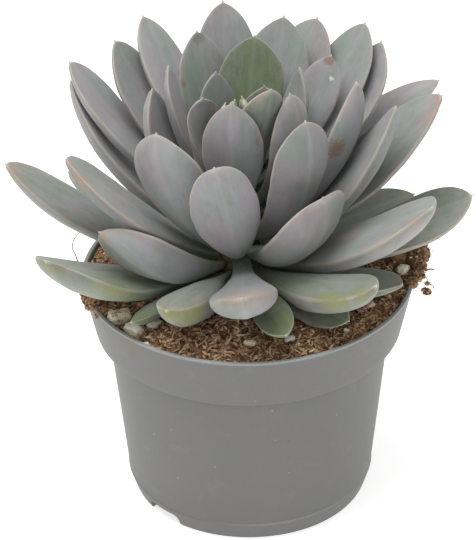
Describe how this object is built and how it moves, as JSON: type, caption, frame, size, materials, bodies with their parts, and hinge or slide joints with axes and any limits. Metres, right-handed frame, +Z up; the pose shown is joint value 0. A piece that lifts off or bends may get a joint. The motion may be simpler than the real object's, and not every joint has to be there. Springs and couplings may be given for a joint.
{
  "type": "potted pachyphytum draco succulent",
  "caption": "Potted succulent: a rosette of thick, bloomed grey-lilac leaves on a short stem, growing in a grey round nursery pot filled with soil mix.",
  "frame": {"origin": "centre of the pot's base, on the surface it stands on", "axes": "+Z up along the pot's axis, -Y towards the front of the plant as pictured, +X to its right"},
  "size_m": [0.1649, 0.1378, 0.1722],
  "materials": {
    "pot_plastic": "semi-matte moulded polypropylene, a little dusty",
    "leaf_skin": "succulent leaf under a pale waxy bloom, grey with lilac, green where the bloom is thin",
    "heart_leaf_skin": "young leaf, pale cream yellow to green",
    "stem_skin": "green-brown succulent stem with old leaf scars",
    "soil_mix": "loose peat and coir fibre, dark brown to tan",
    "pumice": "pitted pumice grit"
  },
  "bodies": {
    "root": {"pot": "pot_plastic", "soil": "soil_mix", "stem": "stem_skin", "outer_leaf_01": "leaf_skin", "outer_leaf_02": "leaf_skin", "outer_leaf_03": "leaf_skin", "outer_leaf_04": "leaf_skin", "outer_leaf_05": "leaf_skin", "outer_leaf_06": "leaf_skin", "outer_leaf_07": "leaf_skin", "outer_leaf_08": "leaf_skin", "outer_leaf_09": "leaf_skin", "outer_leaf_10": "leaf_skin", "outer_leaf_11": "leaf_skin", "outer_leaf_12": "leaf_skin", "outer_leaf_13": "leaf_skin", "outer_leaf_14": "leaf_skin", "outer_leaf_15": "leaf_skin", "outer_leaf_16": "leaf_skin", "outer_leaf_17": "leaf_skin", "outer_leaf_18": "leaf_skin", "outer_leaf_19": "leaf_skin", "middle_leaf_01": "leaf_skin", "middle_leaf_02": "leaf_skin", "middle_leaf_03": "leaf_skin", "middle_leaf_04": "leaf_skin", "middle_leaf_05": "leaf_skin", "middle_leaf_06": "leaf_skin", "middle_leaf_07": "leaf_skin", "middle_leaf_08": "leaf_skin", "middle_leaf_09": "leaf_skin", "middle_leaf_10": "leaf_skin", "middle_leaf_11": "leaf_skin", "middle_leaf_12": "leaf_skin", "middle_leaf_13": "leaf_skin", "middle_leaf_14": "leaf_skin", "middle_leaf_15": "leaf_skin", "inner_leaf_01": "leaf_skin", "inner_leaf_02": "leaf_skin", "inner_leaf_03": "leaf_skin", "inner_leaf_04": "leaf_skin", "inner_leaf_05": "leaf_skin", "inner_leaf_06": "leaf_skin", "inner_leaf_07": "leaf_skin", "inner_leaf_08": "leaf_skin", "inner_leaf_09": "leaf_skin", "inner_leaf_10": "leaf_skin", "inner_leaf_11": "leaf_skin", "inner_leaf_12": "leaf_skin", "inner_leaf_13": "leaf_skin", "inner_leaf_14": "leaf_skin", "inner_leaf_15": "leaf_skin", "inner_leaf_16": "leaf_skin", "inner_leaf_17": "leaf_skin", "heart_leaf_01": "heart_leaf_skin", "heart_leaf_02": "heart_leaf_skin", "heart_leaf_03": "heart_leaf_skin", "heart_leaf_04": "heart_leaf_skin", "pumice_1": "pumice", "pumice_2": "pumice"}
  },
  "joints": []
}
